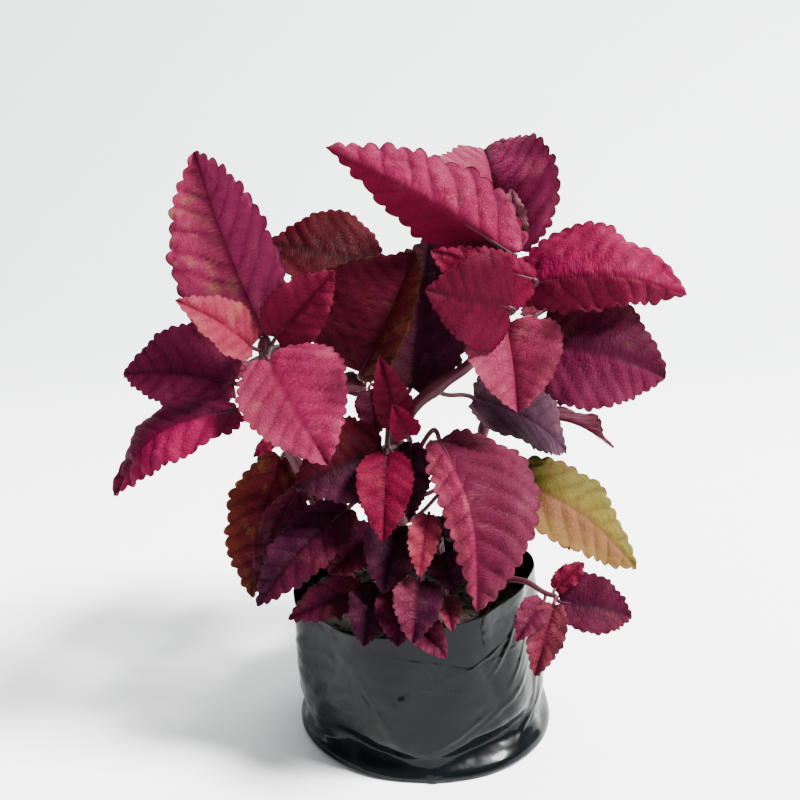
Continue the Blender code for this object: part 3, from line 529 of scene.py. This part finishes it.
def bladeParts(leaf, seed, look):
    # The blade's two faces, and the line under its midrib where the rib runs.
    points, normals, thick, flat, values = bladeSurface(leaf, seed)
    rows, columns = thick.shape
    raised = normals * column(thick / 2)
    upper = part(points + raised, gridFaces(rows, columns), look, flat, **values)
    faces = gridFaces(rows, columns, turned=True)
    lower = part(points - raised, faces, look, flat, np.ones(len(faces)), **values)
    return [upper, lower], (points - raised)[:, columns // 2]


def stalkPart(leaf, stem, seated, ribLine, look):
    # The leafstalk is a cubic curve from the stem to the blade's base, then it runs on as the raised rib
    # under the blade and thins out towards the tip.
    base, length, along, up, _ = bladeAxes(leaf)
    axis = smoothPath(stem["path"], 12)
    gaps = np.linalg.norm(axis - base, axis=1) if leaf["node"] is None else abs(axis[:, 2] - leaf["node"])
    spot = int(gaps.argmin())
    direction = unit(axis[min(spot + 1, len(axis) - 1)] - axis[max(spot - 1, 0)])
    radius = stem["foot"] + (stem["top"] - stem["foot"]) * spot / (len(axis) - 1)
    out = base - axis[spot]
    out = unit(out - direction * (out @ direction))
    solidStart = axis[spot] + out * (radius + stalkForm["clearance"]) * seated
    start = axis[spot] + out * radius * 0.5
    handle = stalkForm["reach"] * np.linalg.norm(base - solidStart)
    steps = stalkForm["steps"]
    s = column(np.linspace(0, 1, steps))
    rest = 1 - s
    curve = rest**3 * start + 3 * rest**2 * s * (solidStart + out * handle)
    curve = curve + 3 * rest * s**2 * (base - along * handle) + s**3 * (base - up * 0.3)
    thick = stalkForm["radius"] * min(1.0, 0.45 + length / 100)
    rib = ribLine[4:-6:4]
    taper = np.r_[np.full(steps, 1.0), 0.8 * (1 - np.linspace(0, 1, len(rib))) + 0.12]
    taper[:3] *= (1.45, 1.3, 1.12)
    drop = np.r_[np.zeros(steps), np.full(len(rib), 0.25)] * thick
    return tubePart(np.vstack([curve, rib]) - up * column(drop), thick * taper, stalkForm["sides"], look)


def stemPart(stem, look, nodes=()):
    # The stem follows its path, a little square in section, and swells where leaves leave it.
    path = smoothPath(stem["path"], 14)
    share = np.linspace(0, 1, len(path))
    radii = stem["foot"] + (stem["top"] - stem["foot"]) * share
    for height in nodes:
        away = (path[:, 2] - height) / stemForm["nodeReach"]
        radii = radii * (1 + stemForm["nodeSwell"] * np.exp(-away ** 2))
    return tubePart(path, radii, stemForm["sides"], look, stemForm["square"])


class Wire:
    # One output of a node, so that shader maths is written as a sum.
    def __init__(self, shader, socket):
        self.shader, self.socket = shader, socket

    def __add__(self, other):
        return self.shader.maths("ADD", self, other)

    def __sub__(self, other):
        return self.shader.maths("SUBTRACT", self, other)

    def __rsub__(self, other):
        return self.shader.maths("SUBTRACT", other, self)

    def __mul__(self, other):
        return self.shader.maths("MULTIPLY", self, other)

    __radd__, __rmul__ = __add__, __mul__


class Shader:
    # A material on a Principled shader. What is given here is the same all over the surface.
    def __init__(self, name, **fixed):
        self.material = bpy.data.materials.new(name)
        self.material.use_nodes = True
        self.nodes, self.links = self.material.node_tree.nodes, self.material.node_tree.links
        self.skin = self.nodes["Principled BSDF"]
        for socket, value in fixed.items():
            self.feed(self.skin.inputs[socket.replace("_", " ")], value)

    def feed(self, socket, value):
        if isinstance(value, Wire):
            self.links.new(value.socket, socket)
        else:
            socket.default_value = value

    def add(self, kind, settings=None, values=None, output=0):
        node = self.nodes.new("ShaderNode" + kind)
        for name, value in (settings or {}).items():
            setattr(node, name, value)
        for place, value in (values or {}).items():
            self.feed(node.inputs[place], value)
        return Wire(self, node.outputs[output])

    def maths(self, operation, first, second):
        return self.add("Math", {"operation": operation}, {0: first, 1: second})

    def smooth(self, value, low, high, least=0.0, most=1.0):
        return self.add("MapRange", {"interpolation_type": "SMOOTHSTEP"},
                        {0: value, 1: low, 2: high, 3: least, 4: most})

    def mix(self, share, first, second):
        return self.add("Mix", {"data_type": "RGBA"}, {0: share, 6: first, 7: second}, 2)

    def attribute(self, name):
        return self.add("Attribute", {"attribute_name": name}, output="Fac")

    def place(self):
        return self.add("TexCoord", output="Object")

    def noise(self, vector, scale, detail=3.0, rough=0.5):
        return self.add("TexNoise", values={"Vector": vector, "Scale": scale, "Detail": detail,
                                            "Roughness": rough})

    def finish(self, colour, roughness, height, strength, distance):
        self.feed(self.skin.inputs["Base Color"], colour)
        self.feed(self.skin.inputs["Roughness"], roughness)
        bump = self.add("Bump", values={"Height": height, "Strength": strength, "Distance": distance})
        self.feed(self.skin.inputs["Normal"], bump)
        return self.material


def paint(colour, share=1.0):  # a colour as seen, 0 to 255, as the light that a shader works with
    seen = np.array(colour, float) / 255
    light = np.where(seen <= 0.04045, seen / 12.92, ((seen + 0.055) / 1.055) ** 2.4)
    return (*(light * share), 1.0)


leafTone = dict(purer=0.16, dimmer=0.2, least=0.001)


def leafInk(colour):
    # A leaf's colour is deeper and purer than it looks in bright light: each channel moves away from
    # the grey of the same brightness, then all are dimmed.
    light = np.array(paint(colour)[:3])
    grey = light @ (0.21, 0.72, 0.07)
    pure = light + (light - grey) * leafTone["purer"]
    return (*np.maximum(pure * leafTone["dimmer"], leafTone["least"]), 1.0)


def blend(first, second, share):
    return tuple(a + (b - a) * share for a, b in zip(first, second))


def leafBody(shader, finish, across, broad, mottle, vein):
    # Centre to edge by how far out the point lies, then blotches, then the veins.
    body = shader.mix(shader.smooth(across + (broad - 0.5) * 0.9, 0.15, 1.0),
                      leafInk(finish["centre"]), leafInk(finish["edge"]))
    spots = shader.smooth(mottle, 0.62 - 0.25 * finish["blotches"], 0.80 - 0.2 * finish["blotches"])
    body = shader.mix(spots * 0.75, body, leafInk(finish["blotch"]))
    return shader.mix(vein * 0.7, body, leafInk(finish["vein"]))


def leafMaterial(left, right):
    # A velvety leaf: mottled colour, dark veins, a net of fine cells, painted shade in the grooves
    # between the quilted swellings, a thin line along the teeth, and a paler underside. The two halves of a
    # blade may have different colours, partly the leaf's own and partly painted shade on a half in shade.
    name = left if left == right else f"{left}_{right}"
    if name in bpy.data.materials:
        return bpy.data.materials[name]
    shader = Shader(name, Specular_IOR_Level=0.02)
    across, vein = shader.attribute("across"), shader.attribute("vein")
    swell, under = shader.attribute("swell"), shader.attribute("under")
    flat = shader.add("UVMap", {"uv_map": "flat"})
    broad = shader.noise(shader.place(), 42.0, 2.0)
    mottle = shader.noise(shader.place(), 95.0, 4.0, 0.6)
    fine = shader.noise(flat, 160.0, 4.0, 0.65)
    cells = shader.add("TexVoronoi", {"feature": "DISTANCE_TO_EDGE"},
                       {"Vector": flat, "Scale": 62.0, "Randomness": 0.85})
    net = shader.smooth(cells, 0.02, 0.16)
    body = leafBody(shader, finishes[left], across, broad, mottle, vein)
    # A darker finish on one half is partly painted shade, for a half that lies in shade.
    if right != left:
        body = shader.mix(shader.attribute("rightHalf"), body,
                          leafBody(shader, finishes[right], across, broad, mottle, vein))
    rim = blend(finishes[left]["rim"], finishes[right]["rim"], 0.5)
    dark = blend(finishes[left]["vein"], finishes[right]["vein"], 0.5)
    pale = blend(blend(finishes[left]["centre"], finishes[right]["centre"], 0.5), (150, 60, 88), 0.25)
    body = shader.mix((1 - net) * 0.3, body, leafInk(dark))
    # Painted shade: the grooves between the quilted swellings, where the side veins run, are darkened.
    body = shader.mix((1 - swell) * 0.26, body, leafInk(dark))
    body = shader.mix(shader.smooth(across, 0.955, 0.99) * 0.75, body, leafInk(rim))
    back = shader.mix(vein * 0.5, leafInk(pale), leafInk(blend(pale, (190, 110, 130), 0.4)))
    body = shader.mix(under, body, back)
    height = net * 0.6 + fine * 0.5 - vein * 0.4
    return shader.finish(body, 0.5 + (fine - 0.5) * 0.35 + (1 - net) * 0.1, height, 0.45, 0.0005)


def stemMaterial():
    # Dark red to purple skin with paler streaks that run along it, and short hairs as fine bump.
    shader = Shader("stemSkin", Specular_IOR_Level=0.2)
    flat = shader.add("UVMap", {"uv_map": "flat"})
    long = shader.add("Mapping", values={"Vector": flat, "Scale": (9.0, 3.0, 1.0)})
    streak = shader.noise(long, 3.0, 3.0)
    broad = shader.noise(shader.place(), 60.0, 2.0)
    body = shader.mix(shader.smooth(streak, 0.4, 0.75), leafInk((96, 26, 50)), leafInk((138, 46, 72)))
    body = shader.mix(shader.smooth(broad, 0.55, 0.8) * 0.6, body, leafInk((122, 72, 60)))
    fine = shader.noise(shader.place(), 1500.0, 2.0)
    return shader.finish(body, 0.42 + streak * 0.2, fine * 0.4 + streak, 0.4, 0.0004)


stemSkin = stemMaterial()


def dressPiece(piece, slot, *nodes):
    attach(piece, "root")
    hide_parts(*nodes)


def leafSet(leaf, carrier, seed, materials, seated):
    # A leaf's blade and stalk as parts, with its finish added to the piece's materials.
    look = leafMaterial(leaf["finish"], leaf["rightFinish"])
    if look not in materials:
        materials.append(look)
    blade, ribLine = bladeParts(leaf, seed, materials.index(look))
    return blade + [stalkPart(leaf, carrier, seated, ribLine, 0)]


for number, (name, leaf) in enumerate(leaves.items()):
    materials = [stemSkin]
    parts = leafSet(leaf, stems[leaf["stem"]], number * 1.7, materials, 1)
    dressPiece(makePiece(name + "_blade", parts, materials), leaf["slot"], name)
print("coleus: large leaves made")

for name in ("stem_main", "stem_left", "stem_back", "stem_back_right"):
    materials, parts = [stemSkin], []
    for stem in [name] + ["right_branch"] * (name == "stem_main"):
        heights = [leaf["node"] for leaf in leaves.values() if leaf["stem"] == stem]
        parts.append(stemPart(stems[stem], 0, heights))
        for number, leaf in enumerate(sprouts.get(stem, [])):
            parts += leafSet(leaf, stems[stem], number * 2.3 + len(name), materials, 0)
    dressPiece(makePiece(name + "_skin", parts, materials), "stem", name)

for name, shoot in shoots.items():
    materials = [stemSkin]
    parts = [stemPart(shoot["stem"], 0)]
    for number, leaf in enumerate(shoot["leaves"]):
        parts += leafSet(leaf, shoot["stem"], number * 3.1 + len(name), materials, 0)
    dressPiece(makePiece(name + "_skin", parts, materials), shoot["slot"], name)
print("coleus: stems and shoots made")

# The bag: black film round the soil. profile is share of the rim's height, then radius.
bag = dict(lean=-7.0, rim=72.0, rise=7.5, wave=1.5, ripple=0.8, foldWide=0.9, foldNarrow=0.6,
           radius=60.0, film=0.35, wall=0.9, crumple=0.42, sides=300, rows=110, floorRings=(0, 20, 40, 54),
           profile=[(0.0, 60.0), (0.012, 62.4), (0.035, 63.2), (0.065, 62.9), (0.10, 61.4), (0.15, 60.0),
                    (0.28, 60.8), (0.45, 60.6), (0.62, 59.8), (0.80, 58.8), (0.92, 58.0), (1.0, 58.2)],
           # Hollows over the base lip: angle, height, half width, half height, depth, and climb a radian.
           # The two in front climb away from the point between them.
           hollows=[(-113, 10, 22, 5.0, 4.2, -13), (-60, 12, 24, 5.8, 4.4, 13), (-10, 10, 16, 6, 2.2, 0),
                    (60, 9, 20, 6, 2.2, 0), (120, 11, 18, 7, 2.4, 0), (178, 9, 18, 6, 2.2, 0)],
           # Creases: angle and height at each end, width, and how far they stand out before creaseScale.
           creaseScale=0.7, creases=[
               (-87, -4, -89, 26, 1.3, 1.3), (-60, 44, -36, 68, 1.0, 1.3), (-50, 38, -27, 60, 1.0, 1.2),
               (-72, 50, -46, 60, 1.1, 1.1), (-46, 8, -22, 24, 1.2, 1.2), (-150, 8, -118, 60, 2.2, 0.9),
               (-128, 12, -96, 44, 1.8, -0.8), (-96, 8, -120, 52, 2.0, 0.7), (-88, 14, -60, 30, 2.2, 1.0),
               (-70, 20, -30, 44, 2.0, 0.9), (-48, 12, -66, 64, 2.4, -0.9), (-40, 8, -14, 50, 1.8, 0.8),
               (-62, 52, -20, 58, 1.8, 0.8), (-100, 58, -60, 50, 2.2, 0.7), (-20, 30, 10, 66, 2.0, -0.8),
               (0, 8, 26, 56, 2.2, 0.9), (40, 10, 70, 60, 2.0, 0.8), (84, 8, 60, 44, 1.8, -0.8),
               (100, 14, 130, 58, 2.2, 0.9), (150, 8, 128, 50, 2.0, 0.8), (160, 20, 196, 60, 2.2, -0.9),
               (200, 8, 176, 46, 1.8, 0.8), (-172, 40, -140, 62, 2.0, 0.8)])


def rimHeight(a):  # highest on the right, rippling a little all round
    wave = bag["rise"] * np.cos(a) + bag["wave"] * (np.cos(2 * a) + np.sin(a))
    return bag["rim"] + wave + bag["ripple"] * np.sin(5 * a + 1)


def turned(a, degrees):  # the angle from a direction to a, from -pi to pi
    return (a - np.radians(degrees) + pi) % (2 * pi) - pi


def bagWall(a, share, inset):
    # The film at an angle and a share of the rim's height: the profile's radius, plus broad folds that
    # are two sine waves, minus bell-shaped hollows over the lip, plus creases along straight lines and
    # a fine crumple made of two ripples.
    height = rimHeight(a) * share
    radius = np.interp(share, *np.array(bag["profile"]).T)
    folds = bag["foldWide"] * np.sin(7 * a + 3 * share) + bag["foldNarrow"] * np.sin(12 * a - 4 * share)
    folds = folds * np.minimum(1, share * 2)
    for middle, level, wide, tall, depth, climb in bag["hollows"]:
        way = turned(a, middle)
        above = (height - level - climb * way) / tall
        folds = folds - depth * np.exp(-(way / radians(wide)) ** 4 - above ** 2)
    for angleLow, low, angleHigh, high, width, stand in bag["creases"]:
        way = (height - low) / (high - low)
        lie = turned(a, angleLow + (angleHigh - angleLow) * np.clip(way, 0, 1)) * bag["radius"]
        ridge = np.exp(-(lie / width / 1.3) ** 2) - 0.35 * np.exp(-(lie / width / 3) ** 2)
        ends = smoothStep(way, -0.15, 0.35) * smoothStep(1 - way, -0.15, 0.35)
        folds = folds + bag["creaseScale"] * stand * ridge * ends
    spot = joined(bag["radius"] * np.cos(a), bag["radius"] * np.sin(a), height * 1.3)
    crumple = np.hypot(ripple(spot, 17, 3), 0.25) + 0.5 * np.hypot(ripple(spot, 8, 4), 0.3) - 0.7
    reach = radius + folds + bag["crumple"] * crumple * smoothStep(share, 0.03, 0.15) - inset
    return joined(bag["lean"] * share + reach * np.cos(a), reach * np.sin(a), height)


def bagPart():
    # Outer wall from the base's middle up to the rim, over it, and down the inside to an inner floor.
    a = np.linspace(0, 2 * pi, bag["sides"] + 1)[None]
    share = column(np.linspace(0, 1, bag["rows"]))
    outer = bagWall(a, share, 0.0)
    lip = bagWall(a, np.array([[1.004]]), bag["film"] / 2)
    inner = bagWall(a, share[:3:-1], bag["film"])
    rings = column(bag["floorRings"])
    under = joined(rings * np.cos(a), rings * np.sin(a), 0.0)
    inside = rings[::-1]
    floor = joined(inside * np.cos(a), inside * np.sin(a), bag["wall"])
    points = np.concatenate([under, outer, lip, inner, floor])
    return part(points, gridFaces(len(points), bag["sides"] + 1), flat=points[..., :2] / 100)


def filmMaterial():
    # Black polythene film: satin, with soft wrinkles that catch the light, and a little dust.
    shader = Shader("blackFilm", Specular_IOR_Level=0.055, Coat_Weight=0.08, Coat_Roughness=0.06)
    place = shader.place()
    stretched = shader.add("Mapping", values={"Vector": place, "Rotation": (0.3, 0.5, 0.4),
                                              "Scale": (1.0, 1.0, 0.45)})
    soft = shader.noise(stretched, 60.0, 3.0, 0.5)
    fine = shader.noise(place, 420.0, 3.0, 0.6)
    dust = shader.smooth(shader.noise(place, 34.0, 4.0, 0.6), 0.5, 0.8)
    body = shader.mix(dust * 0.3, paint((5, 8, 10)), paint((14, 18, 20)))
    return shader.finish(body, 0.17 + soft * 0.12 + dust * 0.08, soft + fine * 0.05, 0.2, 0.0014)


film = makePiece("bag_film", [bagPart()], [filmMaterial()], sharp=60)
dressPiece(film, "film", "bag")

# The potting mix: a lumpy top with loose crumbs of bark on it. wall is height, then radius: it isn't
# seen, and stands clear of the film's hollows.
soil = dict(top=58.0, radius=57.0, crown=1.5, rings=46, sides=160, crumbs=420, crumbReach=53,
            wall=[(1.25, 51.0), (5.0, 51.5), (18.0, 52.0), (32.0, 55.5), (54.0, 55.8)])


def soilLean(height):
    return bag["lean"] * height / bag["rim"]


def soilHeight(x, y):
    # Low lumps of about 26 mm, then clods of about 11 mm and grains of about 4 mm.
    spot = joined(x, y)
    far = np.hypot(x, y) / soil["radius"]
    clods = ripple(spot, 26, 11) * 0.8 + abs(ripple(spot, 11, 12)) * 1.1 + ripple(spot, 4, 13) * 0.45
    return soil["top"] - 0.6 + soil["crown"] * (1 - far) + clods


def soilParts():
    a = np.linspace(0, 2 * pi, soil["sides"] + 1)[None]
    height, radius = (column(line) for line in np.array(soil["wall"]).T)
    wall = joined(soilLean(height) + radius * np.cos(a), radius * np.sin(a), height)
    level = column(np.linspace(soil["wall"][-1][1] - 0.6, 0, soil["rings"]))
    x, y = level * np.cos(a), level * np.sin(a)
    top = joined(soilLean(soil["top"]) + x, y, soilHeight(x, y))
    foot = np.broadcast_to(wall[:1].mean(1, keepdims=True), wall[:1].shape)
    points = np.concatenate([foot, wall, top])
    parts = [part(points, gridFaces(len(points), soil["sides"] + 1), flat=points[..., :2] / 100)]
    # Crumbs: a low six-sided lump, stretched, turned and scattered, with its size drawn for each.
    draw = np.random.default_rng(23)
    count = soil["crumbs"]
    ring = np.linspace(0, 2 * pi, 7)
    profile = np.array([[0, -1], [0.8, -0.5], [1, 0.1], [0.6, 0.8], [0, 1]])
    lump = joined(profile[:, :1] * np.cos(ring), profile[:, :1] * np.sin(ring), profile[:, 1:])
    lump = lump.reshape(-1, 3)
    knobs = 1 + 0.25 * np.sin(lump @ draw.normal(size=(3, count)) * 4).T
    size = draw.uniform(0.6, 2.0, (count, 1, 1)) * draw.uniform(0.5, 1.3, (count, 1, 3)) * (1, 1, 0.6)
    turn = draw.uniform(0, 2 * pi, (count, 1))
    shaped = lump[None] * knobs[..., None] * size
    spin = joined(shaped[..., 0] * np.cos(turn) - shaped[..., 1] * np.sin(turn),
                  shaped[..., 0] * np.sin(turn) + shaped[..., 1] * np.cos(turn), shaped[..., 2])
    far, way = soil["crumbReach"] * np.sqrt(draw.uniform(0, 1, count)), draw.uniform(0, 2 * pi, count)
    x, y = far * np.cos(way), far * np.sin(way)
    spots = joined(soilLean(soil["top"]) + x, y, soilHeight(x, y) + 0.3)
    starts = (np.arange(count) * len(lump))[:, None, None]
    every = (gridFaces(len(profile), len(ring))[None] + starts).reshape(-1, 4)
    bark = np.repeat(draw.uniform(0, 1, count), len(lump))
    parts.append(part(spin + spots[:, None], every, bark=bark))
    return parts


def soilMaterial():
    # Dark damp mix with paler bark and fibre in it.
    shader = Shader("pottingMix", Specular_IOR_Level=0.25)
    place = shader.place()
    grain = shader.noise(place, 700.0, 5.0, 0.7)
    clod = shader.noise(place, 130.0, 4.0, 0.6)
    body = shader.mix(shader.smooth(clod, 0.35, 0.7), paint((18, 14, 12)), paint((38, 29, 23)))
    body = shader.mix(shader.smooth(grain, 0.6, 0.8) * 0.5, body, paint((70, 54, 40)))
    body = shader.mix(shader.smooth(shader.attribute("bark"), 0.7, 1.0) * 0.5, body, paint((72, 50, 34)))
    return shader.finish(body, 0.85 + grain * 0.12, grain + clod * 0.6, 0.7, 0.0008)


dressPiece(makePiece("soil_top", soilParts(), [soilMaterial()], sharp=70), "soil", "soil")
print("coleus: bag and soil made")

# The sweep: a pale floor that curves up into the backdrop, in metres.
sweep = dict(front=-1.6, back=1.1, curve=0.9, height=3.0, half=2.6)


def makeSweep():
    # A flat floor, then a quarter circle, then an upright wall, carried across from side to side.
    turn = np.linspace(0, pi / 2, 24)
    y = np.r_[sweep["front"], sweep["back"] + sweep["curve"] * np.sin(turn), sweep["back"] + sweep["curve"]]
    z = np.r_[0, sweep["curve"] * (1 - np.cos(turn)), sweep["height"]]
    x = np.array([-sweep["half"], sweep["half"]])
    points = joined(x, column(y), column(z)).reshape(-1, 3)
    mesh = bpy.data.meshes.new("sweep")
    mesh.from_pydata(points.tolist(), [], gridFaces(len(y), 2).tolist())
    mesh.shade_smooth()
    # The paper glows a little behind the plant, and not in front, where the bag would mirror it.
    shader = Shader("palePaper", Specular_IOR_Level=0.1, Emission_Strength=1.0)
    depth = shader.add("SeparateXYZ", values={"Vector": shader.place()}, output="Y")
    glow = shader.mix(shader.smooth(depth, -0.1, 0.9), (0, 0, 0, 1), (0.34, 0.36, 0.38, 1))
    shader.feed(shader.skin.inputs["Emission Color"], glow)
    speck = shader.noise(shader.place(), 3.0, 2.0)
    # Painted shade: the paper is pale near the plant and greyer towards the back, where less light reaches
    # it.
    paper = shader.mix(shader.smooth(depth, 0.1, 1.5) * 0.9 + speck * 0.1, paint((244, 245, 245)),
                       paint((208, 211, 214)))
    mesh.materials.append(shader.finish(paper, 0.8 + speck * 0.05, speck, 0.02, 0.001))
    made = bpy.data.objects.new("sweep", mesh)
    bpy.context.scene.collection.objects.link(made)


makeSweep()

# The camera stands where the photograph was taken from, looking a little down.
view = dict(place=(-0.013, -0.394, 0.240), down=11.5, lens=38.25, sensor=36.0)
camera = bpy.data.objects.new("camera", bpy.data.cameras.new("camera"))
camera.data.lens, camera.data.sensor_width = view["lens"], view["sensor"]
camera.location = view["place"]
camera.rotation_euler = (radians(90 - view["down"]), 0, 0)
bpy.context.scene.collection.objects.link(camera)
bpy.context.scene.camera = camera

# Soft lights: a key from the upper right, a broad fill from the front left, and a glow from above.
lamps = dict(
    key=dict(place=(3.2, -0.84, 4.2), aim=(0, 0, 0.12), size=1.5, watts=2050, colour=(1, 0.99, 0.97)),
    fill=dict(place=(-0.9, -1.3, 0.9), aim=(0, 0, 0.15), size=1.6, watts=5, colour=(0.97, 0.98, 1)),
    top=dict(place=(0, 0.3, 1.9), aim=(0, 0, 0), size=1.4, watts=24, colour=(1, 1, 1)))
for name, lamp in lamps.items():
    light = bpy.data.lights.new(name, "AREA")
    light.size, light.energy, light.color = lamp["size"], lamp["watts"], lamp["colour"]
    shine = bpy.data.objects.new(name, light)
    shine.location = lamp["place"]
    x, y, z = np.array(lamp["aim"]) - np.array(lamp["place"])
    shine.rotation_euler = (np.arctan2(np.hypot(x, y), -z), 0, np.arctan2(y, x) - pi / 2)
    bpy.context.scene.collection.objects.link(shine)

sky = dict(colour=(0.92, 0.94, 0.96, 1), strength=0.24)
world = bpy.data.worlds.new("studio")
world.use_nodes = True
around = world.node_tree.nodes["Background"].inputs
around["Color"].default_value, around["Strength"].default_value = sky["colour"], sky["strength"]
bpy.context.scene.world = world

print("coleus: scene ready")
